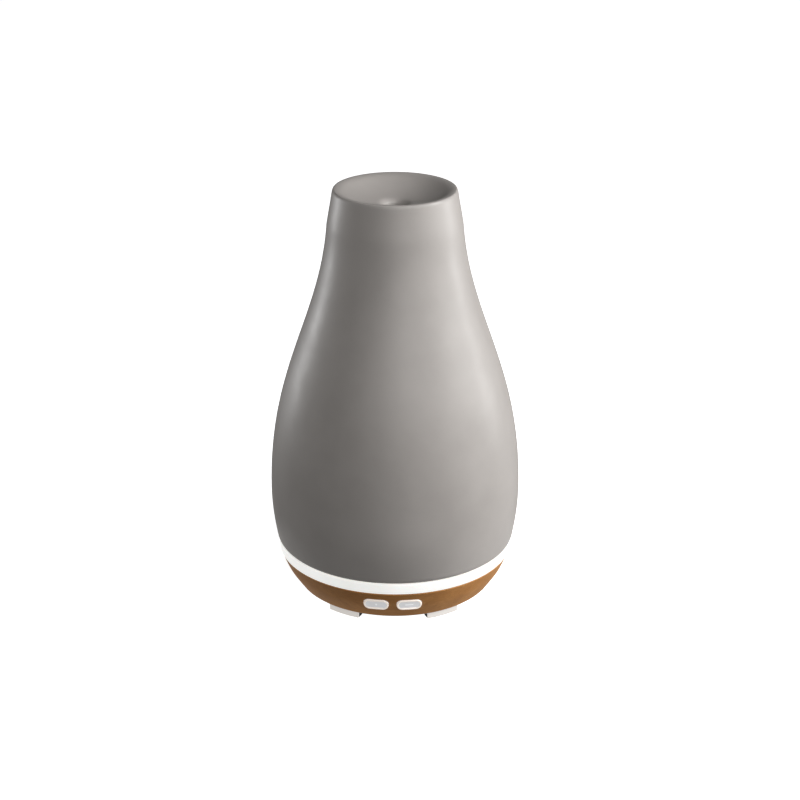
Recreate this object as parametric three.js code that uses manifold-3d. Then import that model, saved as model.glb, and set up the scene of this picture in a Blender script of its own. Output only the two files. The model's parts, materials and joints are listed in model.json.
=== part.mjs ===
// Ultrasonic essential oil diffuser: a ceramic vase-shaped cover over a water tank, on a wooden base
// that holds a fan, a drive board, a ring of lamps and two push buttons.
// Millimetres, +Z up. The origin is on the table, on the vase's axis. The buttons face -Y.
import * as THREE from "three";
import { mergeVertices } from "three/addons/utils/BufferGeometryUtils.js";
import Module from "manifold-3d";

const wasm = await Module();
wasm.setup();

// ---------------------------------------------------------------- driving dimensions
const GAP = 0.3; // left between pieces that touch
const PLAY = 0.4; // round a piece that slides or slips into another
const FINE = 36; // sides of the outer round pieces
const BROAD = 28; // sides of the tank and its lid
const MEDIUM = 20; // sides of the small round pieces inside
const COARSE = 12; // sides of screws and pins
const HOLE = 8; // sides of small holes

const VASE = {
  footR: 61.1,
  footZ: 27,
  bellyR: 64,
  bellyZ: 54.5,
  neckR: 33.7,
  neckZ: 194.7,
  shoulderR: 31,
  shoulderZ: 209.9,
  rimR: 29.8,
  rimZ: 212.6,
  wall: 3.6,
  dishZ: 206, // lowest part of the dished mouth, beside the mist hole
  holeR: 5.6,
  holeBottomZ: 199.5,
};
const LID = {
  spigotR: 49.2,
  spigotZ: 76.5,
  flangeR: 53.2,
  domeZ: 85.2,
  waistZ: 112, // about where the dome turns up into the chimney
  domeTopZ: 140,
  chimneyR: 8,
  topZ: 196,
  wall: 1.6,
};
const FUNNEL = {
  r: 14.6,
  bottomZ: 66,
  shoulderZ: 104,
  neckR: 6,
  neckZ: 134,
  topZ: 150,
  wall: 1.2,
  window: [7, 9],
};
const TANK = {
  r: 52,
  topZ: 82,
  flangeR: 57.2,
  flangeZ: 29.2,
  wall: 2.2,
  floorZ: 30.2,
  footR: 50.6, // the flange is hollow below, between here and grooveR
  grooveR: 47,
  grooveZ: 30.8,
  bottomZ: 27,
  bossR: 3.8,
};
const AIR_TUBE = { x: -36, r: 8.6, boreR: 7.2, bottomZ: 26, topZ: 72 };
const HOOD = { r: 10.2, bottomZ: 66, topZ: 76, wall: 1.2, windowWide: 10 };
const LIGHT_RING = { r: 60.5, innerR: 47, bottomZ: 21.5, webZ: 23.5, rimInnerR: 54 };
const LED_BOARD = { r: 53.2, innerR: 45.2, bottomZ: 18.7, thick: 1 };
const LED = { count: 6, r: 50, side: 5, high: 1.2 };
const WOOD = {
  bottomR: 51.2,
  topR: 59.8,
  bottomZ: 4,
  topZ: 21.2,
  bulge: 0.6,
  boreR: 47.6,
  wallR: 50.9, // the inner wall leans out from here
  wallLowZ: 10.4,
  wallTopZ: 17,
  ringR: 53.7,
};
const BOTTOM = { r: 49.6, spigotR: 47.2, lowZ: 3.3, stepZ: 3.7, floorZ: 5.4, rimZ: 8.2 };
const FOOT = {
  angles: [31, 90, 149, 211, 270, 329], // from the front, in degrees
  outerR: 49.6,
  skinR: 48.4,
  padR: 43.6,
  halfAngle: 10.1,
  skinZ: 0.3,
};
const POST = { at: 29, r: 4.4, topZ: 15, holeR: 1.9, headR: 3.3, headZ: 6.5, screwTopZ: 24 };
const FAN = {
  x: -25,
  side: 30,
  bottomZ: 5.7,
  topZ: 13.7,
  boreR: 13.4,
  hubR: 7,
  holeAt: 12,
  holeR: 1.6,
  blades: 7,
  chord: 7,
  bladeThick: 0.9,
  bladePitch: 40, // degrees from flat
};
const DUCT = { r: 14, tubeR: 8, topZ: 20, spigotR: 6.7, spigotTopZ: 27.9, wall: 1.2 };
const BOARD = { r: 43, cutX: -7, bottomZ: 8.5, topZ: 10.1 };
const PLACES = { capacitor: [13, -25], coil: [27, 12], heatSink: [30, -14], chip: [10, 22] };
const SENDER = {
  discR: 9.6,
  discZ: 25.6,
  discThick: 1.2,
  seatR: 11.2,
  seatZ: 28.1,
  bossR: 16.9,
  bossZ: 24.6,
  screwCircleR: 14.05,
  screwTopZ: 28.2,
};
const BUTTON = {
  x: 8.3,
  z: 14.1,
  wide: 12.6,
  high: 5.8,
  lip: 1.1,
  topFaceR: 58.8,
  lowFaceR: 57.8,
  flangeY: -48.1,
};
const SWITCH = { frontY: -43.8, backY: -40.3, side: 6, plungerR: 1.2 };
const JACK = { wide: 9, high: 8, frontY: 54, backY: 40, boreR: 3, boreDepth: 9.5, pinR: 1.05 };

// ---------------------------------------------------------------- materials
const finish = (color, roughness, metalness = 0) =>
  new THREE.MeshStandardMaterial({ color, roughness, metalness });
const CERAMIC = finish(0x9a958f, 0.42);
const WOOD_BROWN = finish(0x8f5f36, 0.55);
const FROSTED = finish(0xf4f6f4, 0.5);
const WHITE_PLASTIC = finish(0xe8e6e2, 0.45);
const TANK_PLASTIC = finish(0xdfe3e4, 0.35);
const BUTTON_PLASTIC = finish(0xdedfe2, 0.35);
const BLACK_PLASTIC = finish(0x202123, 0.5);
const RUBBER = finish(0x151515, 0.85);
const SILICONE = finish(0xc9ccca, 0.6);
const CIRCUIT_GREEN = finish(0x1f5a38, 0.5);
const LAMP_YELLOW = finish(0xf0e6b0, 0.4);
const STEEL = finish(0xb9bcc0, 0.3, 1);
const ALUMINIUM = finish(0xc3c6c9, 0.4, 1);
const COPPER = finish(0xb06a3a, 0.35, 1);
const FERRITE = finish(0x3a3a3c, 0.7);
const WIRE = finish(0x8c1f1f, 0.5);

// ---------------------------------------------------------------- geometry helpers
// A closed three.js geometry as a solid that can be joined and cut.
function solidOf(geometry) {
  const loose = geometry.index ? geometry.toNonIndexed() : geometry;
  const bare = new THREE.BufferGeometry().setAttribute("position", loose.getAttribute("position"));
  const merged = mergeVertices(bare, 1e-4);
  const corners = merged.index.array;
  const kept = [];
  for (let i = 0; i < corners.length; i += 3) {
    const [a, b, c] = [corners[i], corners[i + 1], corners[i + 2]];
    if (a !== b && b !== c && c !== a) kept.push(a, b, c);
  }
  const vertProperties = merged.attributes.position.array;
  return new wasm.Manifold(new wasm.Mesh({ numProp: 3, vertProperties, triVerts: new Uint32Array(kept) }));
}

// A solid back as a three.js geometry with flat faces.
function geometryOf(solid) {
  const { vertProperties, triVerts } = solid.getMesh();
  const shared = new THREE.BufferGeometry();
  shared.setAttribute("position", new THREE.BufferAttribute(new Float32Array(vertProperties), 3));
  shared.setIndex(new THREE.BufferAttribute(new Uint32Array(triVerts), 1));
  const flat = shared.toNonIndexed();
  flat.computeVertexNormals();
  return flat;
}

const join = (...solids) => solids.reduce((whole, next) => whole.add(next));
const cut = (solid, ...tools) => tools.reduce((left, tool) => left.subtract(tool), solid);
const common = (a, b) => a.intersect(b);
const turned = (geometry, degrees) => geometry.rotateZ(THREE.MathUtils.degToRad(degrees));

// A ring or disc turned about Z from a profile of [radius, height] points, run anticlockwise.
function revolve(profile, sides) {
  const points = profile.map(([r, z]) => new THREE.Vector2(r, z));
  const onAxis = profile[0][0] === 0 && profile.at(-1)[0] === 0;
  if (!onAxis) points.push(points[0].clone());
  return solidOf(new THREE.LatheGeometry(points, sides).rotateX(Math.PI / 2));
}

// An outline in the XY plane raised from one height to another.
function prism(shape, lowZ, highZ, curveSegments = 6) {
  const settings = { depth: highZ - lowZ, bevelEnabled: false, curveSegments };
  return solidOf(new THREE.ExtrudeGeometry(shape, settings).translate(0, 0, lowZ));
}

function rod(r, lowZ, highZ, x = 0, y = 0, sides = COARSE) {
  const upright = new THREE.CylinderGeometry(r, r, highZ - lowZ, sides).rotateX(Math.PI / 2);
  return solidOf(upright.translate(x, y, (lowZ + highZ) / 2));
}

// A rod along Y.
function rodY(r, lowY, highY, x, z, sides = COARSE) {
  const along = new THREE.CylinderGeometry(r, r, highY - lowY, sides);
  return solidOf(along.translate(x, (lowY + highY) / 2, z));
}

function boxGeometry([x0, x1], [y0, y1], [z0, z1]) {
  const block = new THREE.BoxGeometry(x1 - x0, y1 - y0, z1 - z0);
  return block.translate((x0 + x1) / 2, (y0 + y1) / 2, (z0 + z1) / 2);
}

const box = (xs, ys, zs) => solidOf(boxGeometry(xs, ys, zs));
const around = (middle, size) => [middle - size / 2, middle + size / 2];

// Points along a cubic curve, without its first point.
function curve(from, lean, reach, to, steps) {
  const [a, b, c, d] = [from, lean, reach, to].map(([r, z]) => new THREE.Vector2(r, z));
  const points = new THREE.CubicBezierCurve(a, b, c, d).getPoints(steps);
  return points.slice(1).map((p) => [p.x, p.y]);
}

// Points round a corner, without its first point.
function fillet(from, corner, to, steps = 2) {
  const [a, b, c] = [from, corner, to].map(([r, z]) => new THREE.Vector2(r, z));
  const points = new THREE.QuadraticBezierCurve(a, b, c).getPoints(steps);
  return points.slice(1).map((p) => [p.x, p.y]);
}

function roundedRectangle(wide, high, r) {
  const [x, y] = [wide / 2, high / 2];
  const shape = new THREE.Shape();
  shape.moveTo(-x + r, -y).lineTo(x - r, -y).absarc(x - r, -y + r, r, -Math.PI / 2, 0);
  shape.lineTo(x, y - r).absarc(x - r, y - r, r, 0, Math.PI / 2);
  shape.lineTo(-x + r, y).absarc(-x + r, y - r, r, Math.PI / 2, Math.PI);
  shape.lineTo(-x, -y + r).absarc(-x + r, -y + r, r, Math.PI, 1.5 * Math.PI);
  return shape;
}

// A rounded outline in the XZ plane run along Y, such as a button or its opening.
function rounded(wide, high, r, [lowY, highY], x, z) {
  const settings = { depth: highY - lowY, bevelEnabled: false, curveSegments: 4 };
  const block = new THREE.ExtrudeGeometry(roundedRectangle(wide, high, r), settings);
  return solidOf(block.rotateX(Math.PI / 2).translate(x, highY, z));
}

const pill = (wide, high, ys, x, z) => rounded(wide, high, high / 2 - 0.01, ys, x, z);

// A piece of a ring centred on -Y.
function sector(innerR, outerR, halfAngle, lowZ, highZ) {
  const half = THREE.MathUtils.degToRad(halfAngle);
  const middle = -Math.PI / 2;
  const shape = new THREE.Shape();
  shape.absarc(0, 0, outerR, middle - half, middle + half);
  shape.absarc(0, 0, innerR, middle + half, middle - half, true);
  return new THREE.ExtrudeGeometry(shape, { depth: highZ - lowZ, bevelEnabled: false, curveSegments: 4 })
    .translate(0, 0, lowZ);
}

// The outline round two circles, the second one smaller and at [-reach, 0].
function teardrop(r, smallR, reach) {
  const lean = Math.acos((r - smallR) / reach);
  const shape = new THREE.Shape();
  shape.absarc(0, 0, r, -Math.PI + lean, Math.PI - lean);
  shape.absarc(-reach, 0, smallR, Math.PI - lean, Math.PI + lean);
  return shape;
}

const mesh = (name, solid, material) => {
  const made = new THREE.Mesh(geometryOf(solid), material);
  made.name = name;
  return made;
};

function group(...children) {
  const made = new THREE.Group();
  made.add(...children);
  return made;
}

// ---------------------------------------------------------------- the vase-shaped cover
function ceramicCover() {
  const v = VASE;
  const inward = ([r, z]) => [r - v.wall, z];
  // The outline's corners and the handles of its curves, from the foot up.
  const footInside = [v.footR - 3, v.footZ];
  const footUnder = [v.footR - 1.2, v.footZ];
  const footEdge = [v.footR + 0.1, v.footZ + 1.3];
  const footLean = [v.footR + 1.3, v.footZ + 8];
  const bellyUnder = [v.bellyR, v.bellyZ - 11];
  const belly = [v.bellyR, v.bellyZ];
  const bellyOver = [v.bellyR, v.bellyZ + 65];
  const neckUnder = [v.neckR + 4, v.neckZ - 50];
  const neck = [v.neckR, v.neckZ];
  const shoulder = [v.shoulderR, v.shoulderZ];
  const crest = [v.rimR, v.rimZ];
  const rimInside = [v.rimR - 5.2, v.rimZ - 1.6];
  const dishHigh = [v.rimR - 9.7, v.rimZ - 4.1];
  const dishLow = [v.holeR + 9, v.dishZ + 0.9];
  const holeLip = [v.holeR + 3.9, v.dishZ];
  const holeThroat = [v.holeR, v.dishZ - 3.5];
  // Under the dish the wall keeps its thickness, and thins towards the hole.
  const dishUnder = [v.rimR - 9, v.dishZ - v.wall / 2];
  const lipUnder = [v.holeR + 4, v.holeBottomZ + 2.6];
  const profile = [
    footInside,
    footUnder,
    ...fillet(footUnder, [v.footR, v.footZ], footEdge),
    ...curve(footEdge, footLean, bellyUnder, belly, 3),
    ...curve(belly, bellyOver, neckUnder, neck, 8),
    ...curve(neck, [v.neckR - 0.6, v.neckZ + 4.3], [v.shoulderR + 0.6, v.shoulderZ - 3.4], shoulder, 2),
    ...fillet(shoulder, [v.shoulderR - 0.4, v.rimZ], crest),
    ...fillet(crest, [v.rimR - 2.3, v.rimZ], rimInside),
    ...curve(rimInside, dishHigh, dishLow, holeLip, 4),
    ...fillet(holeLip, [v.holeR + 0.8, v.dishZ - 0.4], holeThroat),
    [v.holeR, v.holeBottomZ],
    [v.holeR + 2.6, v.holeBottomZ],
    lipUnder,
    dishUnder,
    ...fillet(dishUnder, inward([v.neckR - 0.4, v.dishZ - 0.5]), inward(neck)),
    ...curve(inward(neck), inward(neckUnder), inward(bellyOver), inward(belly), 6),
    ...fillet(inward(belly), inward(bellyUnder), footInside).slice(0, -1),
  ];
  return mesh("ceramic_cover", revolve(profile, FINE), CERAMIC);
}

// ---------------------------------------------------------------- the inner lid
function innerLid() {
  const l = LID;
  const inner = l.spigotR - 1.2;
  const dome = [l.flangeR - 1.6, l.domeZ];
  const chimney = [l.chimneyR, l.domeTopZ];
  const bore = [l.chimneyR - l.wall, l.domeTopZ + 1];
  const under = [inner, l.domeZ - 0.8];
  const profile = [
    [inner, l.spigotZ],
    [l.spigotR, l.spigotZ],
    [l.spigotR, TANK.topZ + GAP],
    [l.flangeR, TANK.topZ + GAP],
    [l.flangeR, l.domeZ - 1],
    dome,
    ...curve(dome, [l.flangeR - 5.2, l.waistZ], [l.chimneyR + 3.5, l.waistZ], chimney, 6),
    [l.chimneyR - 0.5, l.topZ],
    [l.chimneyR - l.wall - 0.2, l.topZ],
    bore,
    ...curve(bore, [l.chimneyR + 2.1, l.waistZ], [inner - 2, l.waistZ - 2], under, 5),
  ];
  return mesh("inner_lid", revolve(profile, BROAD), WHITE_PLASTIC);
}

// A funnel inside the lid that gathers the mist over the sender and keeps drops off the chimney.
function mistFunnel() {
  const f = FUNNEL;
  const shoulder = [f.r, f.shoulderZ];
  const neck = [f.neckR, f.neckZ];
  const innerNeck = [f.neckR - f.wall, f.neckZ];
  const innerShoulder = [f.r - f.wall, f.shoulderZ];
  const waistZ = (f.shoulderZ + f.neckZ) / 2;
  const profile = [
    [f.r - f.wall, f.bottomZ],
    [f.r, f.bottomZ],
    shoulder,
    ...curve(shoulder, [f.r, waistZ], [f.neckR + 0.2, waistZ], neck, 4),
    [f.neckR - 0.2, f.topZ],
    [f.neckR - f.wall - 0.2, f.topZ],
    innerNeck,
    ...curve(innerNeck, [f.neckR - 1, waistZ], [f.r - f.wall, waistZ], innerShoulder, 4),
  ];
  const [windowWide, windowHigh] = f.window;
  const zs = [f.bottomZ - 1, f.bottomZ + windowHigh];
  const windows = [
    box([-f.r - 1, f.r + 1], around(0, windowWide), zs),
    box(around(0, windowWide), [-f.r - 1, f.r + 1], zs),
  ];
  return mesh("mist_funnel", cut(revolve(profile, MEDIUM), ...windows), WHITE_PLASTIC);
}

// ---------------------------------------------------------------- the water tank
const postPlaces = [1, -1].flatMap((x) => [1, -1].map((y) => [x * POST.at, y * POST.at]));

function waterTank() {
  const t = TANK;
  const s = SENDER;
  const wallFoot = [t.r - t.wall - 0.2, 36.5];
  const floorEdge = [t.r - t.wall - 3.4, 33.4];
  const profile = [
    [s.discR - 1.6, s.seatZ],
    [s.seatR, s.seatZ],
    [s.seatR, s.bossZ],
    [s.bossR, s.bossZ],
    [s.bossR, 27.2],
    [t.grooveR, t.grooveZ],
    [t.footR, t.grooveZ],
    [t.footR, t.bottomZ],
    [t.flangeR, t.bottomZ],
    [t.flangeR, t.flangeZ],
    [t.r + 0.4, t.flangeZ],
    [t.r, t.topZ],
    [t.r - t.wall, t.topZ],
    wallFoot,
    ...fillet(wallFoot, [t.r - t.wall - 0.4, 33.8], floorEdge),
    [s.seatR + 2, t.floorZ],
    [s.discR - 1.6, t.floorZ],
  ];
  const bosses = postPlaces.map(([x, y]) => rod(t.bossR, POST.topZ + GAP, t.floorZ + 1.4, x, y));
  const pilots = postPlaces.map(([x, y]) => rod(POST.holeR, POST.topZ, POST.screwTopZ + 2, x, y, HOLE));
  const tube = rod(AIR_TUBE.r, AIR_TUBE.bottomZ, AIR_TUBE.topZ, AIR_TUBE.x, 0, MEDIUM);
  const tubeBore = rod(AIR_TUBE.boreR, AIR_TUBE.bottomZ - 1, AIR_TUBE.topZ + 1, AIR_TUBE.x, 0, MEDIUM);
  const clampPilots = clampPlaces.map(([x, y]) => rod(1.2, s.bossZ - 1, s.screwTopZ + 0.4, x, y, HOLE));
  const body = join(revolve(profile, BROAD), tube, ...bosses);
  return mesh("water_tank", cut(body, tubeBore, ...pilots, ...clampPilots), TANK_PLASTIC);
}

// A hood over the tank's air tube, open on the side that faces the sender.
function airHood() {
  const h = HOOD;
  const shell = rod(h.r, h.bottomZ, h.topZ, 0, 0, MEDIUM);
  const inside = rod(h.r - h.wall, h.bottomZ - 1, h.topZ - h.wall, 0, 0, MEDIUM);
  const window = box([0, h.r + 1], around(0, h.windowWide), [AIR_TUBE.topZ - 1.5, h.topZ - h.wall]);
  const hood = mesh("air_hood", cut(shell, inside, window), WHITE_PLASTIC);
  hood.position.x = AIR_TUBE.x;
  return hood;
}

// ---------------------------------------------------------------- the mist sender under the tank
const clampPlaces = [90, 210, 330].map((degrees) => {
  const angle = THREE.MathUtils.degToRad(degrees);
  return [SENDER.screwCircleR * Math.cos(angle), SENDER.screwCircleR * Math.sin(angle)];
});

function mistSender() {
  const s = SENDER;
  const discTop = s.discZ + s.discThick;
  const disc = rod(s.discR, s.discZ, discTop, 0, 0, MEDIUM);
  const seal = revolve(
    [
      [s.discR + GAP, s.discZ - 0.4],
      [s.seatR - GAP, s.discZ - 0.4],
      [s.seatR - GAP, s.seatZ - GAP],
      [s.discR - 1.3, s.seatZ - GAP],
      [s.discR - 1.3, discTop + GAP],
      [s.discR + GAP, discTop + GAP],
    ],
    MEDIUM,
  );
  const plateTop = s.bossZ - GAP;
  const plateLow = plateTop - 1.2;
  const plate = revolve(
    [
      [4.5, plateLow],
      [s.bossR - 0.3, plateLow],
      [s.bossR - 0.3, plateTop],
      [s.discR - 0.2, plateTop],
      [s.discR - 0.2, s.discZ - GAP],
      [s.discR - 1.8, s.discZ - GAP],
      [s.discR - 1.8, plateTop],
      [4.5, plateTop],
    ],
    MEDIUM,
  );
  const holes = clampPlaces.map(([x, y]) => rod(1.3, plateLow - 1, plateTop + 1, x, y, HOLE));
  const screws = clampPlaces.map(([x, y], i) => {
    const headTop = plateLow - GAP;
    const screw = mesh(`clamp_screw_${i + 1}`, screwSolid(2.2, 1.5, 0.9, s.screwTopZ - headTop), STEEL);
    screw.position.set(x, y, headTop);
    return screw;
  });
  return group(
    mesh("sender_disc", disc, STEEL),
    mesh("sender_seal", seal, SILICONE),
    mesh("sender_clamp", cut(plate, ...holes), BLACK_PLASTIC),
    ...screws,
  );
}

// A cross-head screw that points up, with its head's inner face at height 0.
function screwSolid(headR, headHigh, shankR, shankLong) {
  const head = rod(headR, -headHigh, 0);
  const shank = rod(shankR, -0.1, shankLong, 0, 0, HOLE);
  const depth = [-headHigh - 1, -headHigh * 0.45];
  const slot = box(around(0, headR * 1.2), around(0, headR * 0.3), depth);
  const crossSlot = box(around(0, headR * 0.3), around(0, headR * 1.2), depth);
  return cut(join(head, shank), slot, crossSlot);
}

// ---------------------------------------------------------------- the light ring and its lamps
function lightRing() {
  const l = LIGHT_RING;
  const topZ = VASE.footZ - GAP;
  const profile = [
    [l.innerR, l.bottomZ],
    [l.r - 0.5, l.bottomZ],
    [l.r - 0.1, l.bottomZ + 0.4],
    [l.r, topZ - 0.4],
    [l.r - 0.4, topZ],
    [l.rimInnerR, topZ],
    [l.rimInnerR, l.webZ],
    [l.innerR, l.webZ],
  ];
  return mesh("light_ring", revolve(profile, FINE), FROSTED);
}

function lamps() {
  const b = LED_BOARD;
  const profile = [
    [b.innerR, b.bottomZ],
    [b.r, b.bottomZ],
    [b.r, b.bottomZ + b.thick],
    [b.innerR, b.bottomZ + b.thick],
  ];
  const board = mesh("lamp_board", revolve(profile, BROAD), CIRCUIT_GREEN);
  const lowZ = b.bottomZ + b.thick + GAP;
  const ring = group(board);
  for (let i = 0; i < LED.count; i += 1) {
    const block = box(around(0, LED.side), around(-LED.r, LED.side), [lowZ, lowZ + LED.high]);
    const lamp = mesh(`lamp_${i + 1}`, block, LAMP_YELLOW);
    lamp.rotation.z = ((i + 0.5) * 2 * Math.PI) / LED.count;
    ring.add(lamp);
  }
  return ring;
}

// ---------------------------------------------------------------- the wooden base
function woodBase() {
  const w = WOOD;
  const low = [w.bottomR, w.bottomZ + 0.6];
  const high = [w.topR, w.topZ - 0.6];
  const middle = [(low[0] + high[0]) / 2 + 2 * w.bulge, (low[1] + high[1]) / 2];
  const profile = [
    [w.boreR, w.bottomZ],
    [w.bottomR - 0.7, w.bottomZ],
    low,
    ...fillet(low, middle, high, 4),
    [w.topR - 0.6, w.topZ],
    [w.ringR, w.topZ],
    [w.ringR, w.wallTopZ],
    [w.wallR, w.wallLowZ],
    [w.boreR, BOTTOM.rimZ + 0.4],
  ];
  const wallYs = [w.bottomR - 11, w.topR + 1];
  const buttonHoles = [-1, 1].map((side) =>
    pill(BUTTON.wide + 2 * PLAY, BUTTON.high + 2 * PLAY, [-wallYs[1], -wallYs[0]], side * BUTTON.x, BUTTON.z),
  );
  const jackHole = rounded(JACK.wide + 1.4, JACK.high + 1.4, 1.4, wallYs, 0, jackZ);
  return mesh("wood_base", cut(revolve(profile, FINE), jackHole, ...buttonHoles), WOOD_BROWN);
}

// ---------------------------------------------------------------- the bottom cover and feet
const standoffs = [[30, 0], [2, -30], [2, 30]];

function bottomCover() {
  const b = BOTTOM;
  const pan = revolve(
    [
      [0, b.lowZ],
      [b.r, b.lowZ],
      [b.r, b.stepZ],
      [b.spigotR, b.stepZ],
      [b.spigotR, b.rimZ],
      [b.spigotR - 1.6, b.rimZ],
      [b.spigotR - 1.6, b.floorZ],
      [0, b.floorZ],
    ],
    FINE,
  );
  const skins = FOOT.angles.map((angle) =>
    solidOf(turned(sector(FOOT.skinR, FOOT.outerR, FOOT.halfAngle, FOOT.skinZ, b.lowZ + 0.5), angle)),
  );
  const posts = postPlaces.map(([x, y]) => rod(POST.r, b.lowZ + 0.5, POST.topZ, x, y));
  const heads = postPlaces.map(([x, y]) => rod(POST.headR, b.lowZ - 1, POST.headZ, x, y));
  const holes = postPlaces.map(([x, y]) => rod(POST.holeR, b.lowZ - 1, POST.topZ + 1, x, y, HOLE));
  const stands = standoffs.flatMap(([x, y]) => [
    rod(2.4, b.floorZ - 0.5, BOARD.bottomZ - GAP, x, y),
    rod(1, b.floorZ - 0.5, BOARD.topZ + 0.8, x, y, HOLE),
  ]);
  const pilots = fanScrewPlaces.map(([x, y]) =>
    rod(FAN.holeR, b.lowZ + 0.5, b.floorZ + 1, FAN.x + x, y, HOLE),
  );
  const body = join(pan, ...skins, ...posts, ...stands);
  return mesh("bottom_cover", cut(body, ...heads, ...holes, ...pilots, ...grilleSlots()), WHITE_PLASTIC);
}

// Straight air slots that fill a circle under the fan.
function grilleSlots() {
  const [reach, wide, pitch, slots] = [12, 1.8, 3.4, 7];
  return Array.from({ length: slots }, (_, i) => {
    const y = (i - (slots - 1) / 2) * pitch;
    const half = Math.sqrt(reach * reach - y * y);
    return box([FAN.x - half, FAN.x + half], around(y, wide), [BOTTOM.lowZ - 1, BOTTOM.floorZ + 1]);
  });
}

function footPads() {
  const topZ = BOTTOM.lowZ - GAP;
  return FOOT.angles.map((angle, i) => {
    const shape = sector(FOOT.padR, FOOT.skinR - GAP, FOOT.halfAngle, 0, topZ);
    const pad = mesh(`foot_pad_${i + 1}`, solidOf(shape), RUBBER);
    pad.rotation.z = THREE.MathUtils.degToRad(angle);
    return pad;
  });
}

function baseScrews() {
  return postPlaces.map(([x, y], i) => {
    const headTop = POST.headZ - GAP;
    const screw = mesh(`base_screw_${i + 1}`, screwSolid(2.8, 2, 1.5, POST.screwTopZ - headTop), STEEL);
    screw.position.set(x, y, headTop);
    return screw;
  });
}

// ---------------------------------------------------------------- the fan and its air duct
const fanScrewPlaces = [[FAN.holeAt, FAN.holeAt], [-FAN.holeAt, -FAN.holeAt]];

function fanFrame() {
  const f = FAN;
  const motorTop = f.bottomZ + 1.2;
  const ring = cut(prism(roundedRectangle(f.side, f.side, 3), f.bottomZ, f.topZ, 3),
    rod(f.boreR, f.bottomZ - 1, f.topZ + 1, 0, 0, MEDIUM));
  const struts = [0, 120, 240].map((angle) =>
    solidOf(turned(boxGeometry([f.hubR - 1, f.boreR + 0.5], around(0, 2), [f.bottomZ, motorTop]), angle)),
  );
  const corners = [1, -1].flatMap((x) => [1, -1].map((y) => [x * f.holeAt, y * f.holeAt]));
  const holes = corners.map(([x, y]) => rod(f.holeR, f.bottomZ - 1, f.topZ + 1, x, y, HOLE));
  const body = join(ring, rod(f.hubR, f.bottomZ, motorTop, 0, 0, MEDIUM), ...struts);
  return mesh("fan_frame", cut(body, ...holes), BLACK_PLASTIC);
}

function fanRotor() {
  const f = FAN;
  const hubLow = f.bottomZ + 1.5;
  const hub = rod(f.hubR - 0.6, hubLow, f.topZ - 0.5, 0, 0, MEDIUM);
  const tipR = f.boreR - 0.5;
  const sweep = rod(tipR, hubLow + 0.4, f.topZ - 0.7, 0, 0, MEDIUM);
  const blades = Array.from({ length: f.blades }, (_, i) => {
    const blade = new THREE.BoxGeometry(tipR - f.hubR + 3, f.chord, f.bladeThick);
    blade.rotateX(THREE.MathUtils.degToRad(f.bladePitch));
    blade.translate((tipR + f.hubR) / 2 - 0.5, 0, (f.bottomZ + f.topZ) / 2 + 0.4);
    return common(solidOf(turned(blade, (i * 360) / f.blades)), sweep);
  });
  return mesh("fan_rotor", join(hub, ...blades), BLACK_PLASTIC);
}

// A flat duct that takes the fan's air sideways and up a spigot into the tank's air tube.
function airDuct() {
  const d = DUCT;
  const reach = FAN.x - AIR_TUBE.x;
  const lowZ = FAN.topZ + GAP;
  const [floorZ, roofZ] = [lowZ + d.wall, d.topZ - d.wall];
  const shell = prism(teardrop(d.r, d.tubeR, reach), lowZ, d.topZ, 10);
  const spigot = rod(d.spigotR, d.topZ - 1, d.spigotTopZ, -reach, 0, MEDIUM);
  const inside = prism(teardrop(d.r - d.wall, d.tubeR - d.wall, reach), floorZ, roofZ, 10);
  const inlet = rod(d.r - 1.6, lowZ - 1, floorZ + 0.2, 0, 0, MEDIUM);
  const outlet = rod(d.spigotR - d.wall, roofZ - 0.2, d.spigotTopZ + 1, -reach, 0, MEDIUM);
  return mesh("air_duct", cut(join(shell, spigot), inside, inlet, outlet), WHITE_PLASTIC);
}

function fanAssembly() {
  const screws = fanScrewPlaces.map(([x, y], i) => {
    const screw = mesh(`fan_screw_${i + 1}`, screwSolid(2.3, 1.5, 1.25, FAN.topZ + GAP - 4), STEEL);
    screw.rotation.x = Math.PI;
    screw.position.set(x, y, FAN.topZ + GAP);
    return screw;
  });
  const assembly = group(fanFrame(), fanRotor(), airDuct(), ...screws);
  assembly.position.x = FAN.x;
  return assembly;
}

// ---------------------------------------------------------------- the drive board and what is on it
const partsZ = BOARD.topZ + GAP;

function driveBoard() {
  const b = BOARD;
  const disc = rod(b.r, b.bottomZ, b.topZ, 0, 0, 40);
  const fanSide = box([-b.r - 1, b.cutX], [-b.r - 1, b.r + 1], [b.bottomZ - 1, b.topZ + 1]);
  const notches = postPlaces.map(([x, y]) => rod(POST.r + 0.5, b.bottomZ - 1, b.topZ + 1, x, y));
  const pinHoles = standoffs.map(([x, y]) => rod(1.4, b.bottomZ - 1, b.topZ + 1, x, y, HOLE));
  return mesh("drive_board", cut(disc, fanSide, ...notches, ...pinHoles), CIRCUIT_GREEN);
}

function capacitor() {
  const can = mesh("capacitor", rod(4, 0, 11.5, 0, 0, MEDIUM), BLACK_PLASTIC);
  can.position.set(...PLACES.capacitor, partsZ);
  return can;
}

// A ferrite bobbin with copper wound round its waist.
function coil() {
  const [r, waistR, high, flange] = [6, 3, 10, 1.6];
  const upper = high - flange;
  const flanges = [[0, flange], [upper, high]].map(([lowZ, highZ]) => rod(r, lowZ, highZ, 0, 0, MEDIUM));
  const core = join(rod(waistR, 0, high), ...flanges);
  const [inner, outer] = [waistR + GAP, r - 0.5];
  const [low, top] = [flange + GAP, upper - GAP];
  const winding = revolve([[inner, low], [outer, low], [outer, top], [inner, top]], MEDIUM);
  const made = group(mesh("coil_core", core, FERRITE), mesh("coil_winding", winding, COPPER));
  made.position.set(...PLACES.coil, partsZ);
  return made;
}

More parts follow.
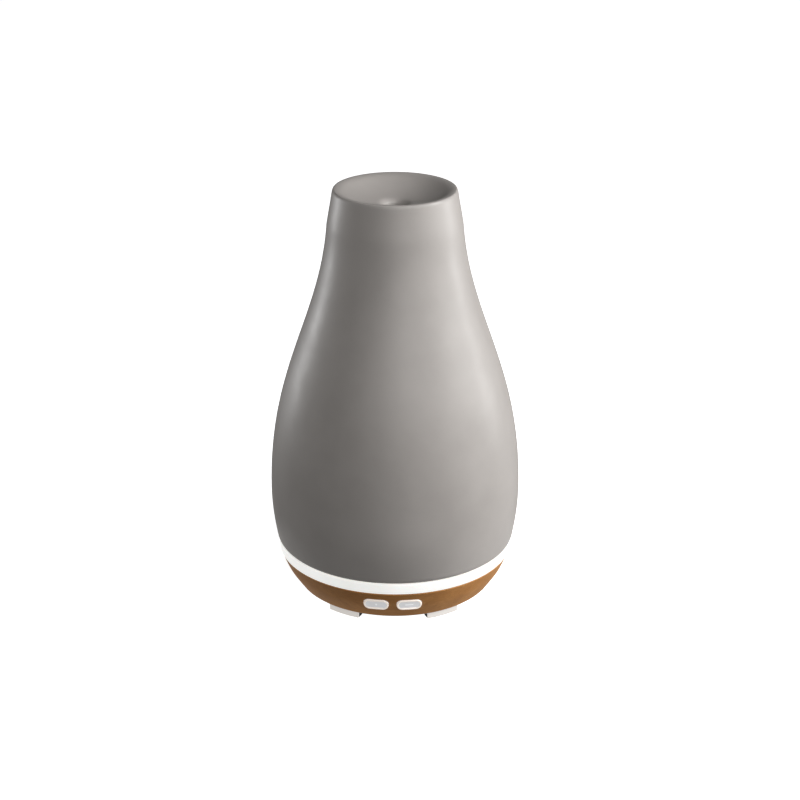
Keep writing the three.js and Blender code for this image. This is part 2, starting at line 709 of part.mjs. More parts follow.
// The power transistor stands against a finned aluminium heat sink.
function powerStage() {
  const body = box([-5, 5], [-2, 2], [4, 14]);
  const legs = [-2.5, 0, 2.5].map((x) => box(around(x, 1), around(0, 0.6), [0, 4.5]));
  const back = box([-7.5, 7.5], [2.3, 4], [0, 15]);
  const fins = [-6.9, -2.3, 2.3, 6.9].map((x) => box(around(x, 1.2), [3.5, 9], [0, 15]));
  const made = group(
    mesh("transistor", join(body, ...legs), BLACK_PLASTIC),
    mesh("heat_sink", join(back, ...fins), ALUMINIUM),
  );
  made.position.set(...PLACES.heatSink, partsZ);
  made.rotation.z = -Math.PI / 2;
  return made;
}

function controllerChip() {
  const body = box([-4, 4], [-2.2, 2.2], [0.3, 1.8]);
  const legs = [-3, -1, 1, 3].map((x) => box(around(x, 0.6), [-3.4, 3.4], [0, 0.5]));
  const chip = mesh("controller_chip", join(body, ...legs), BLACK_PLASTIC);
  chip.position.set(...PLACES.chip, partsZ);
  return chip;
}

// An open-topped socket for a lead.
function socket(name, x, y) {
  const shell = box([-3.5, 3.5], [-2.5, 2.5], [0, 4.5]);
  const well = box([-2.7, 2.7], [-1.7, 1.7], [2.8, 5]);
  const made = mesh(name, cut(shell, well), WHITE_PLASTIC);
  made.position.set(x, y, partsZ);
  return made;
}

// ---------------------------------------------------------------- leads
const SOCKETS = { fan: [-1, -20], sender: [13, -12], lamp: [36, 6] };
const leadEndZ = partsZ + 2.8 + GAP;

function lead(name, r, route) {
  const path = new THREE.CatmullRomCurve3(route.map(([x, y, z]) => new THREE.Vector3(x, y, z)));
  const section = new THREE.Shape().absarc(0, 0, r, 0, 2 * Math.PI);
  const settings = { extrudePath: path, steps: 14, curveSegments: 3, bevelEnabled: false };
  return mesh(name, solidOf(new THREE.ExtrudeGeometry(section, settings)), WIRE);
}

function leads() {
  const [fan, sender, lamp] = [SOCKETS.fan, SOCKETS.sender, SOCKETS.lamp];
  return group(
    lead("fan_lead", 0.7, [
      [FAN.x + FAN.side / 2 + GAP, -9, 11],
      [-8, -9, 11.2],
      [-4.4, -13, 15.6],
      [...fan, 16.4],
      [...fan, leadEndZ],
    ]),
    lead("sender_lead", 0.7, [
      [0, 0, SENDER.discZ - GAP],
      [0, 0, 22.6],
      [5, -4.6, 18.6],
      [12, -11, 17.4],
      [...sender, 15.6],
      [...sender, leadEndZ],
    ]),
    lead("lamp_lead", 0.7, [
      [48.6, 8, LED_BOARD.bottomZ - GAP],
      [48.4, 8, 16.6],
      [44.6, 7.4, 14.6],
      [38, 6.3, 16.8],
      [...lamp, 15.6],
      [...lamp, leadEndZ],
    ]),
  );
}

// ---------------------------------------------------------------- the buttons and their switches
// The faces follow the base's curve: they are cut from a cone about the vase's axis.
function buttonCap(name, x) {
  const b = BUTTON;
  const [lowZ, highZ] = around(b.z, b.high);
  const slope = (b.topFaceR - b.lowFaceR) / b.high;
  const faceCone = revolve(
    [[0, lowZ - 1], [b.lowFaceR - slope, lowZ - 1], [b.topFaceR + slope, highZ + 1], [0, highZ + 1]],
    3 * FINE,
  );
  const key = common(pill(b.wide, b.high, [-WOOD.topR, b.flangeY + 0.5], x, b.z), faceCone);
  const flange = pill(b.wide + 2 * b.lip, b.high + 2 * b.lip, [b.flangeY, b.flangeY + 1], x, b.z);
  const stem = rodY(1.5, b.flangeY + 0.5, SWITCH.frontY - 1.4, x, b.z);
  return mesh(name, join(key, flange, stem), BUTTON_PLASTIC);
}

function tactSwitch(name, x) {
  const s = SWITCH;
  const body = box(around(x, s.side), [s.frontY, s.backY], around(BUTTON.z, s.side));
  const well = rodY(s.plungerR + PLAY, s.frontY - 1, s.frontY + 2.2, x, BUTTON.z);
  const plunger = rodY(s.plungerR, s.frontY - 1.1, s.frontY + 1.2, x, BUTTON.z);
  return group(
    mesh(`${name}_switch`, cut(body, well), BLACK_PLASTIC),
    mesh(`${name}_plunger`, plunger, STEEL),
  );
}

function buttons() {
  const board = box([-16, 16], [SWITCH.backY + GAP, SWITCH.backY + GAP + 1.2], [partsZ, 19]);
  return group(
    buttonCap("mist_button", -BUTTON.x),
    buttonCap("light_button", BUTTON.x),
    tactSwitch("mist", -BUTTON.x),
    tactSwitch("light", BUTTON.x),
    mesh("button_board", board, CIRCUIT_GREEN),
  );
}

// ---------------------------------------------------------------- the power inlet
const jackZ = partsZ + JACK.high / 2;

function powerInlet() {
  const j = JACK;
  const boreEnd = j.frontY - j.boreDepth;
  const body = rounded(j.wide, j.high, 1, [j.backY, j.frontY], 0, jackZ);
  const bore = rodY(j.boreR, boreEnd, j.frontY + 1, 0, jackZ, 20);
  const pin = rodY(j.pinR, boreEnd + GAP, j.frontY - 1.2, 0, jackZ);
  return group(mesh("power_inlet", cut(body, bore), BLACK_PLASTIC), mesh("inlet_pin", pin, STEEL));
}

// ---------------------------------------------------------------- the whole diffuser
const diffuser = group(
  ceramicCover(),
  group(innerLid(), mistFunnel()),
  group(waterTank(), airHood(), mistSender()),
  group(lightRing(), lamps()),
  group(woodBase(), bottomCover(), ...footPads(), ...baseScrews()),
  fanAssembly(),
  group(
    driveBoard(),
    capacitor(),
    coil(),
    powerStage(),
    controllerChip(),
    socket("fan_socket", ...SOCKETS.fan),
    socket("sender_socket", ...SOCKETS.sender),
    socket("lamp_socket", ...SOCKETS.lamp),
    leads(),
  ),
  buttons(),
  powerInlet(),
);

export default diffuser;
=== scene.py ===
import json
import math

import bmesh
import bpy
from mathutils import Matrix, Vector

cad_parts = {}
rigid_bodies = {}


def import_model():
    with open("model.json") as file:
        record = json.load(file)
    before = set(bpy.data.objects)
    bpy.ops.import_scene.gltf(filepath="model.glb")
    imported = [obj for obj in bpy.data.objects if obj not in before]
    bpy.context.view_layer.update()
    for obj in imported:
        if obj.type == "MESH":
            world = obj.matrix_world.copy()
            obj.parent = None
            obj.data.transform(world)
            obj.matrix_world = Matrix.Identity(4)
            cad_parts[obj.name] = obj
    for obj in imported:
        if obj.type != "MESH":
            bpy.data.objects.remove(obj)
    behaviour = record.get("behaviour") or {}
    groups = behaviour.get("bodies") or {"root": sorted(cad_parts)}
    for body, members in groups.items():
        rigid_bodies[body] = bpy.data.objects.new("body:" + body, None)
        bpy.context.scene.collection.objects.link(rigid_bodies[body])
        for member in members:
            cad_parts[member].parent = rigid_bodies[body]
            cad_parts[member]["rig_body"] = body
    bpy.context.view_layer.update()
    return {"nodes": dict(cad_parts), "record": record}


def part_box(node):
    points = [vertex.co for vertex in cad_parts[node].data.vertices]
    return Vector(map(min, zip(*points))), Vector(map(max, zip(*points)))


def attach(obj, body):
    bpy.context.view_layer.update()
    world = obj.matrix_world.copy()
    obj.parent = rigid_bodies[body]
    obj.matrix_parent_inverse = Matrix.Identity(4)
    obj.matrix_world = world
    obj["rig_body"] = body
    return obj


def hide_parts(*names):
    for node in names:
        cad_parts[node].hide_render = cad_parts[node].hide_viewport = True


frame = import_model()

MM = 0.001
FINE, BROAD, SMALL = 192, 160, 48  # sides of the outer pieces, of those in and on the tank, and of small ones
BOOLEAN_WELD, BEVEL_WELD, MARK_WELD = 0.002, 0.008, 0.001  # vertices this close, in millimetres, are one

# ---------------------------------------------------------------- driving dimensions, in millimetres
VASE_WALL = 3.6
VASE_BELLY_Z, VASE_NECK_R, VASE_NECK_Z = 54.5, 33.7, 194.7
MIST_HOLE_R = 5.6
RING_INNER_R, RING_RIM_R, RING_WEB = 47, 54, 2
WOOD_BOTTOM_R, WOOD_BORE_R, WOOD_LEDGE_R, WOOD_WALL_R = 51.2, 47.6, 53.7, 50.9
PAN_Z, PAN_STEP_Z, PAN_FLOOR_Z, PAN_RIM_Z, PAN_SPIGOT_R = 3.3, 3.7, 5.4, 8.2, 47.2
FOOT_ANGLES, FOOT_HALF_ANGLE, FOOT_SKIRT = (31, 90, 149, 211, 270, 329), 10.1, 1.2
BUTTON_WIDE, BUTTON_HIGH, BUTTON_GAP = 12.6, 5.8, 0.3
BUTTON_FACE_LOW_R, BUTTON_FACE_SLOPE = 57.8, 0.17
POST_R, POST_HOLE_R, SCREW_HEAD_BORE_R, SCREW_HEAD_BORE_Z = 4.4, 1.9, 3.3, 6.5
TANK_R, TANK_WALL, TANK_FLOOR_Z, TANK_BOTTOM_Z = 52.0, 2.2, 30.2, 27.0
AIR_TUBE_R, AIR_TUBE_BORE_R, AIR_TUBE_TOP_Z = 8.6, 7.2, 72
LID_SPIGOT_R, LID_FLANGE_Z, LID_DOME_Z = 49.2, 82.3, 85.2
BASE_SCREWS = [f"base_screw_{i}" for i in range(1, 5)]


def extent(node):
    """A CAD node's lowest and highest corner, in millimetres."""
    low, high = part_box(node)
    return low / MM, high / MM


def middle(node):
    """The centre of a CAD node's box, in millimetres."""
    low, high = extent(node)
    return (low + high) / 2


# ---------------------------------------------------------------- outlines
def bezier(start, lean, reach, end, steps):
    """Points along a cubic curve, after its start."""
    points = []
    for i in range(1, steps + 1):
        t = i / steps
        u = 1 - t
        weights = (u ** 3, 3 * u * u * t, 3 * u * t * t, t ** 3)
        corners = (start, lean, reach, end)
        points.append(tuple(sum(w * p[k] for w, p in zip(weights, corners)) for k in (0, 1)))
    return points


def rounded(corners, steps=5):
    """A closed outline of (x, z) or (x, z, radius) corners, with an arc at each corner that has a radius."""
    points = []
    for i, corner in enumerate(corners):
        here = Vector(corner[:2])
        if len(corner) == 2:
            points.append(tuple(here))
            continue
        before = (Vector(corners[i - 1][:2]) - here).normalized()
        after = (Vector(corners[(i + 1) % len(corners)][:2]) - here).normalized()
        half = before.angle(after) / 2
        reach = corner[2] / math.tan(half)
        centre = here + (before + after).normalized() * corner[2] / math.sin(half)
        start, end = here + before * reach - centre, here + after * reach - centre
        turn = start.angle_signed(end)
        for k in range(steps + 1):
            points.append(tuple(centre + Matrix.Rotation(-turn * k / steps, 2) @ start))
    return points


def rectangle(low, high, radius):
    """A rounded rectangle in the XZ plane between two corners."""
    corners = ((low.x, low.z), (high.x, low.z), (high.x, high.z), (low.x, high.z))
    return rounded([(x, z, radius) for x, z in corners], steps=6)


def pill(wide, high, inset=0.0, round_steps=10, straight_steps=6):
    """Points round a pill in the XZ plane, anticlockwise from its lower left, drawn in by inset."""
    r = high / 2 - inset
    x = (wide - high) / 2
    along = [-x + 2 * x * i / straight_steps for i in range(straight_steps)]
    angles = [math.pi * i / round_steps for i in range(round_steps)]
    lower = [(px, -r) for px in along] + [(x + r * math.sin(a), -r * math.cos(a)) for a in angles]
    return lower + [(-px, -pz) for px, pz in lower]


# ---------------------------------------------------------------- meshes
def shaded(obj, angle=32):
    """Smooth shading, with sharp edges where faces meet at more than the angle."""
    bm = bmesh.new()
    bm.from_mesh(obj.data)
    bmesh.ops.recalc_face_normals(bm, faces=bm.faces)
    for edge in bm.edges:
        edge.smooth = len(edge.link_faces) == 2 and edge.calc_face_angle() < math.radians(angle)
    for face in bm.faces:
        face.smooth = True
    bm.to_mesh(obj.data)
    bm.free()
    return obj


def made(name, bm):
    """An object from a bmesh in millimetres."""
    mesh = bpy.data.meshes.new(name)
    bmesh.ops.scale(bm, vec=(MM, MM, MM), verts=bm.verts)
    bmesh.ops.recalc_face_normals(bm, faces=bm.faces)
    bm.to_mesh(mesh)
    bm.free()
    obj = bpy.data.objects.new(name, mesh)
    bpy.context.scene.collection.objects.link(obj)
    return obj


def skin(loops, caps=(0, -1)):
    """A bmesh from loops of points, each joined to the next, with a face over the loops numbered in caps."""
    bm = bmesh.new()
    rows = [[bm.verts.new(point) for point in loop] for loop in loops]
    for row, following in zip(rows, rows[1:]):
        for i, vert in enumerate(row):
            bm.faces.new((row[i - 1], vert, following[i], following[i - 1]))
    for number in caps:
        bm.faces.new(rows[number])
    return bm


def turned_mesh(outline, sides, x=0.0, y=0.0):
    """The bmesh of a closed (r, z) outline turned about the upright axis through (x, y)."""
    bm = bmesh.new()
    angles = [2 * math.pi * i / sides for i in range(sides)]
    rows = []
    for r, z in outline:
        if r == 0:
            rows.append([bm.verts.new((x, y, z))] * sides)
        else:
            rows.append([bm.verts.new((x + r * math.sin(a), y - r * math.cos(a), z)) for a in angles])
    for row, following in zip(rows, rows[1:] + rows[:1]):
        for i in range(sides):
            corners = list(dict.fromkeys((row[i - 1], row[i], following[i], following[i - 1])))
            if len(corners) > 2:
                bm.faces.new(corners)
    return bm


def turned(name, outline, sides, x=0.0, y=0.0):
    return shaded(made(name, turned_mesh(outline, sides, x, y)))


def sector_mesh(outline, middle_angle, half_angle, steps=24):
    """The bmesh of an (r, z) outline swept part of the way round the vase."""
    loops = []
    for i in range(steps + 1):
        a = math.radians(middle_angle - half_angle + 2 * half_angle * i / steps)
        loops.append([(r * math.sin(a), -r * math.cos(a), z) for r, z in outline])
    return skin(loops)


def run_along_y(outline, ys):
    return skin([[(x, y, z) for x, z in outline] for y in ys])


def box_mesh(xs, ys, zs):
    return skin([[(xs[0], ys[0], z), (xs[1], ys[0], z), (xs[1], ys[1], z), (xs[0], ys[1], z)] for z in zs])


def rod_mesh(r, low_z, high_z, x=0.0, y=0.0):
    return turned_mesh([(0, low_z), (r, low_z), (r, high_z), (0, high_z)], SMALL, x, y)


def facing_back(bm, back_y, z):
    """Turns a bmesh made along +Z so that it runs into the diffuser from its back."""
    for vert in bm.verts:
        vert.co = (vert.co.x, back_y - vert.co.z, z + vert.co.y)
    return bm


def bake(obj):
    """Replaces obj's mesh by what its modifiers make of it."""
    graph = bpy.context.evaluated_depsgraph_get()
    mesh = bpy.data.meshes.new_from_object(obj.evaluated_get(graph))
    obj.modifiers.clear()
    obj.data = mesh


def cleaned(obj, distance):
    """Merges obj's vertices closer than distance, in millimetres, and splits faces with many corners."""
    bm = bmesh.new()
    bm.from_mesh(obj.data)
    bmesh.ops.remove_doubles(bm, verts=bm.verts, dist=distance * MM)
    bmesh.ops.dissolve_degenerate(bm, edges=bm.edges, dist=distance * MM / 10)
    bmesh.ops.triangulate(bm, faces=[face for face in bm.faces if len(face.verts) > 4])
    bm.to_mesh(obj.data)
    bm.free()
    return obj


def combine(obj, operation, *solids):
    """Joins each solid to obj, or cuts it away, and keeps the result as plain geometry."""
    for bm in solids:
        tool = made("tool", bm)
        modifier = obj.modifiers.new("combine", "BOOLEAN")
        modifier.operation = operation
        modifier.solver = "EXACT"
        modifier.object = tool
        bake(obj)
        cleaned(obj, BOOLEAN_WELD)
        bpy.data.objects.remove(tool)
    return obj


def eased(obj, width, angle=40, segments=3):
    """Rounds obj's edges by width, in millimetres, where faces meet at more than the angle."""
    cleaned(obj, BEVEL_WELD)
    bevel = obj.modifiers.new("eased", "BEVEL")
    bevel.width = width * MM
    bevel.segments = segments
    bevel.limit_method = "ANGLE"
    bevel.angle_limit = math.radians(angle)
    bevel.use_clamp_overlap = True
    bake(obj)
    cleaned(obj, BEVEL_WELD)
    return shaded(obj)


# ---------------------------------------------------------------- material graphs
materials = {}


class Graph:
    """A material with a Principled shader, built a node at a time."""

    def __init__(self, name, **inputs):
        self.name = name
        self.material = bpy.data.materials.new(name)
        self.material.use_nodes = True
        self.tree = self.material.node_tree
        self.shader = self.tree.nodes["Principled BSDF"]
        for key, value in inputs.items():
            self.shader.inputs[key.replace("_", " ")].default_value = value
        self.place = self.node("ShaderNodeTexCoord").outputs["Object"]

    def node(self, kind, inputs=None, **settings):
        made_node = self.tree.nodes.new(kind)
        for key, value in settings.items():
            setattr(made_node, key, value)
        for key, value in (inputs or {}).items():
            self.feed(made_node.inputs[key], value)
        return made_node

    def feed(self, socket, value):
        if isinstance(value, bpy.types.NodeSocket):
            self.tree.links.new(value, socket)
        else:
            socket.default_value = value

    def noise(self, scale, detail=3.0, roughness=0.5, distortion=0.0, stretch=None):
        """Noise with scale cells to the metre, fewer along an axis whose stretch is below 1."""
        place = self.place
        if stretch:
            place = self.node("ShaderNodeMapping", {"Vector": place, "Scale": stretch}).outputs["Vector"]
        inputs = {"Vector": place, "Scale": scale, "Detail": detail}
        inputs.update({"Roughness": roughness, "Distortion": distortion})
        return self.node("ShaderNodeTexNoise", inputs).outputs["Fac"]

    def spread(self, value, low, high, to_low=0.0, to_high=1.0):
        """value remapped from one range to another, held at both ends."""
        inputs = {"Value": value, "From Min": low, "From Max": high, "To Min": to_low, "To Max": to_high}
        return self.node("ShaderNodeMapRange", inputs).outputs["Result"]

    def blend(self, amount, first, second):
        """first where amount is 0, second where it is 1. Either is a socket or an sRGB hex code."""
        mix = self.node("ShaderNodeMix", data_type="RGBA")
        self.feed(mix.inputs["Factor"], amount)
        for key, color in (("A", first), ("B", second)):
            self.feed(mix.inputs[key], rgb(color) if isinstance(color, str) else color)
        return mix.outputs["Result"]

    def bump(self, height, strength, depth, normal=None):
        """A surface pushed out by height, at most depth millimetres."""
        inputs = {"Height": height, "Strength": strength, "Distance": depth * MM}
        if normal:
            inputs["Normal"] = normal
        return self.node("ShaderNodeBump", inputs).outputs["Normal"]

    def worn_edges(self, low, high, most):
        """0 on flat and hollow places, rising to most on convex edges."""
        pointiness = self.node("ShaderNodeNewGeometry").outputs["Pointiness"]
        return self.spread(pointiness, low, high, 0, most)

    def finish(self, color, roughness, normal):
        for key, value in (("Base Color", color), ("Roughness", roughness), ("Normal", normal)):
            self.feed(self.shader.inputs[key], value)
        materials[self.name] = self.material


def rgb(code):
    """A linear colour with alpha from an sRGB hex code."""
    channels = [int(code[i : i + 2], 16) / 255 for i in (0, 2, 4)]
    linear = [c / 12.92 if c <= 0.04045 else ((c + 0.055) / 1.055) ** 2.4 for c in channels]
    return (*linear, 1.0)


# ---------------------------------------------------------------- the materials
def glazed_stoneware():
    """A warm grey satin glaze, faintly clouded and specked, thinner and paler along its edges."""
    g = Graph("glazed_stoneware", IOR=1.45, Coat_Weight=0.08, Coat_Roughness=0.3)
    specks = g.spread(g.noise(1400, 2, 0.6), 0.66, 0.74, 0, 0.18)
    color = g.blend(g.spread(g.noise(28, 3, 0.55), 0.35, 0.65), "a39e9a", "aaa5a1")
    color = g.blend(specks, color, "857f79")
    color = g.blend(g.worn_edges(0.53, 0.6, 0.5), color, "b3aea7")
    orange_peel = g.bump(g.noise(420, 2, 0.5), 0.12, 0.05)
    brush_pull = g.bump(g.noise(90, 2, 0.5, stretch=(1, 1, 0.35)), 0.1, 0.15, orange_peel)
    g.finish(color, g.spread(g.noise(60, 4, 0.6), 0.3, 0.7, 0.46, 0.54), brush_pull)


def bare_stoneware():
    g = Graph("bare_stoneware")
    grain = g.noise(900, 4, 0.65)
    color = g.blend(g.spread(grain, 0.3, 0.7), "b7ab9a", "cbc1b2")
    g.finish(color, g.spread(grain, 0.2, 0.8, 0.8, 0.9), g.bump(grain, 0.35, 0.12))


def dark_wood():
    """Close-grained wood with its fibres along X, under a matt oil finish."""
    g = Graph("dark_wood", Specular_IOR_Level=0.15)
    bands = g.noise(95, 4, 0.55, 0.6, stretch=(0.12, 1, 1))
    fibres = g.noise(900, 3, 0.6, 0.2, stretch=(0.05, 1, 1))
    pores = g.spread(g.noise(2600, 2, 0.5, stretch=(0.06, 1, 1)), 0.6, 0.72, 0, 0.4)
    color = g.blend(g.spread(bands, 0.3, 0.7), "ac753e", "c28b51")
    color = g.blend(g.spread(fibres, 0.3, 0.75, 0, 0.35), color, "885a30")
    color = g.blend(pores, color, "6a482b")
    color = g.blend(g.worn_edges(0.53, 0.62, 0.3), color, "c09660")
    grain = g.bump(pores, 0.25, -0.05, g.bump(fibres, 0.15, 0.05))
    g.finish(color, g.spread(bands, 0.2, 0.8, 0.46, 0.56), grain)


def frosted_diffuser():
    """Frosted plastic with lamps lit behind it."""
    g = Graph("frosted_diffuser", Subsurface_Weight=0.3, Subsurface_Scale=2 * MM, Emission_Strength=0.68)
    frost = g.noise(1500, 3, 0.6)
    cloud = g.spread(g.noise(40, 2, 0.5), 0.3, 0.7)
    g.feed(g.shader.inputs["Emission Color"], g.blend(cloud, "f6f6f2", "fffffd"))
    color = g.blend(cloud, "b2b2af", "babab7")
    g.finish(color, g.spread(frost, 0.3, 0.7, 0.45, 0.6), g.bump(frost, 0.2, 0.03))


def moulded(name, light, dark, roughness=(0.4, 0.52), texture=0.18, **inputs):
    """Moulded plastic or rubber: a fine spark-eroded texture and a little unevenness in its colour."""
    g = Graph(name, **inputs)
    color = g.blend(g.spread(g.noise(55, 3), 0.3, 0.7), dark, light)
    color = g.blend(g.worn_edges(0.53, 0.65, 0.4), color, light)
    unevenness = g.spread(g.noise(120, 3, 0.6), 0.3, 0.7, *roughness)
    g.finish(color, unevenness, g.bump(g.noise(2200, 3, 0.6), texture, 0.04))


def glow_painted(name, light, dark, strength, **inputs):
    """Thin white plastic with painted light: an even glow of its own light colour that brightens it, standing
    in for light that falls on it.
    """
    return moulded(name, light, dark, (0.3, 0.38), 0.08, Emission_Color=rgb(light),
                   Emission_Strength=strength, **inputs)


def worked_metal(name, light, dark, roughness=(0.22, 0.38), stretch=(1, 1, 0.08)):
    """Metal with fine marks along one direction."""
    g = Graph(name, Metallic=1.0)
    marks = g.noise(1800, 3, 0.6, stretch=stretch)
    color = g.blend(g.spread(marks, 0.3, 0.7), dark, light)
    g.finish(color, g.spread(g.noise(300, 3, 0.6), 0.3, 0.7, *roughness), g.bump(marks, 0.15, 0.02))


def circuit_board():
    """Green solder mask over a pattern of tracks."""
    g = Graph("circuit_board", Coat_Weight=0.5, Coat_Roughness=0.15)
    tracks = g.node("ShaderNodeTexBrick", {
        "Vector": g.place,
        "Scale": 260.0,
        "Mortar Size": 0.1,
        "Color1": rgb("1c5234"),
        "Color2": rgb("205c3b"),
        "Mortar": rgb("2b7a4d"),
    })
    color = g.blend(g.spread(g.noise(200, 2), 0.3, 0.7, 0, 0.3), tracks.outputs["Color"], "184a2f")
    roughness = g.spread(g.noise(500, 2), 0.3, 0.7, 0.3, 0.45)
    g.finish(color, roughness, g.bump(tracks.outputs["Fac"], 0.2, 0.03))


def make_materials():
    """One material for each of the record's slots, and a few for parts of a piece."""
    glazed_stoneware()
    bare_stoneware()
    dark_wood()
    frosted_diffuser()
    moulded("white_plastic", "eeedea", "e4e2dd")
    moulded("tank_plastic", "e6eaea", "dce1e2", (0.28, 0.38), 0.1, Subsurface_Weight=0.2)
    moulded("tank_mark", "9aa3a8", "8f989d", (0.4, 0.5), 0.1)
    # Painted light: foot_plastic's greyer colour and glow even out the skirts' shading and stand in for light
    # thrown up by the floor.
    glow_painted("foot_plastic", "a7a39f", "9f9b97", 1.1)
    # Painted light: the button faces and their marks glow evenly so that they look brighter.
    glow_painted("button_plastic", "9b9b9c", "939395", 1.25)
    # Painted highlight: button_rim's pale colour and faint glow stand for the light the rounded rim catches.
    glow_painted("button_rim", "e5dad0", "ded2c6", 0.5)
    glow_painted("button_mark", "a9aaab", "a1a2a4", 1.25)
    moulded("black_plastic", "232427", "1a1b1d")
    moulded("black_rubber", "1a1a1a", "101010", (0.75, 0.9), 0.35)
    moulded("silicone", "cdd0ce", "c0c4c2", (0.5, 0.62), 0.1, Subsurface_Weight=0.3)
    circuit_board()
    moulded("lamp_lens", "f5e9b4", "e8d995", (0.3, 0.4), 0.1)
    worked_metal("steel", "c6c9cc", "a9acb0")
    worked_metal("aluminium", "c9ccce", "b4b7ba", (0.35, 0.5))
    worked_metal("copper", "b8703f", "9a5730", (0.25, 0.4), (1, 1, 6))
    moulded("ferrite", "3e3e40", "303032", (0.6, 0.75), 0.3)
    moulded("wire_sheath", "96201f", "801816", (0.35, 0.5), 0.1)


# ---------------------------------------------------------------- placing pieces
body_of_node = {node: obj["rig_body"] for node, obj in frame["nodes"].items()}
slot_of_node = {part["node"]: part["material_slot"] for part in frame["record"]["subparts"]}


def goes_with(obj, node):
    """obj moves with a CAD node's body and takes its finish."""
    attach(obj, body_of_node[node])
    if not obj.data.materials:
        obj.data.materials.append(materials[slot_of_node[node]])
    return obj


def stands_for(obj, node):
    """obj replaces a CAD node."""
    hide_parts(node)
    return goes_with(obj, node)


def paint(obj, names, choose):
    """Gives obj several materials, and each face the one whose number choose(centre, normal) returns."""
    for name in names:
        obj.data.materials.append(materials[name])
    for face in obj.data.polygons:
        face.material_index = choose(face.center / MM, face.normal)
    return obj


# ---------------------------------------------------------------- the ceramic cover
def ceramic_cover():
    low, high = extent("ceramic_cover")
    belly_r, foot_z, rim_z = high.x, low.z, high.z
    dish_z, dish_back_z = rim_z - 6.6, rim_z - 13.1
    belly, neck = (belly_r, VASE_BELLY_Z), (VASE_NECK_R, VASE_NECK_Z)
    belly_under, belly_over = (belly_r, VASE_BELLY_Z - 11), (belly_r, VASE_BELLY_Z + 65)
    neck_under = (VASE_NECK_R + 4, VASE_NECK_Z - 50)
    foot_bore_r, foot_above = 57.5, (62.4, foot_z + 8)
    foot_inside, foot_under, foot_edge = (foot_bore_r, foot_z), (58.3, foot_z), (61.55, foot_z + 3)
    shoulder, crest = (31.15, rim_z - 3), (29.9, rim_z)
    neck_lean, shoulder_reach = (VASE_NECK_R - 0.6, VASE_NECK_Z + 4.3), (31.75, rim_z - 7)
    rim_inside, dish_high, dish_low = (24.7, rim_z - 1.6), (20.2, rim_z - 4.1), (14.6, dish_z + 0.9)
    lip, throat = (9.6, dish_z), (MIST_HOLE_R, dish_z - 3.8)
    throat_foot, throat_side = (MIST_HOLE_R + 2.6, dish_back_z), (MIST_HOLE_R + 4, dish_back_z + 2.6)
    dish_under = (20.8, dish_z - 1.8)

    def inward(point):
        return point[0] - VASE_WALL, point[1]

    outline = [foot_inside, foot_under]
    outline += bezier(foot_under, (60.2, foot_z), (61.25, foot_z + 1.2), foot_edge, 10)
    outline += bezier(foot_edge, foot_above, belly_under, belly, 12)
    outline += bezier(belly, belly_over, neck_under, neck, 40)
    outline += bezier(neck, neck_lean, shoulder_reach, shoulder, 10)
    outline += bezier(shoulder, (30.85, rim_z - 1), (30.6, rim_z), crest, 6)
    outline += bezier(crest, (28.2, rim_z), (26.5, rim_z - 0.6), rim_inside, 10)
    outline += bezier(rim_inside, dish_high, dish_low, lip, 20)
    outline += bezier(lip, (7.2, dish_z - 0.4), (MIST_HOLE_R, dish_z - 1.4), throat, 8)
    outline += [(MIST_HOLE_R, dish_back_z), throat_foot, throat_side, dish_under]
    outline += bezier(dish_under, (29.4, dish_z - 1), (30.1, dish_z - 5), inward(neck), 8)
    outline += bezier(inward(neck), inward(neck_under), inward(belly_over), inward(belly), 24)
    outline += bezier(inward(belly), inward(belly_under), inward(foot_above), (foot_bore_r, foot_z + 0.6), 8)
    cover = turned("cover_glaze", outline, FINE)

    def glaze_or_bare(centre, normal):
        r = math.hypot(centre.x, centre.y)
        faces_axis = normal.x * centre.x + normal.y * centre.y < 0
        under_foot = centre.z < foot_z + 0.2
        hollow = faces_axis and centre.z < dish_under[1] + 0.5 and r > MIST_HOLE_R + 2
        return 1 if under_foot or hollow else 0

    paint(cover, ["glazed_stoneware", "bare_stoneware"], glaze_or_bare)
    stands_for(cover, "ceramic_cover")


# ---------------------------------------------------------------- the light ring
def light_ring():
    low, high = extent("light_ring")
    r, taper = high.x, 0.15
    outline = rounded([
        (RING_INNER_R, low.z),
        (r - taper, low.z, 0.3),
        (r, high.z, 0.35),
        (RING_RIM_R, high.z, 0.3),
        (RING_RIM_R, low.z + RING_WEB),
        (RING_INNER_R, low.z + RING_WEB),
    ])
    stands_for(turned("glow_ring", outline, FINE), "light_ring")


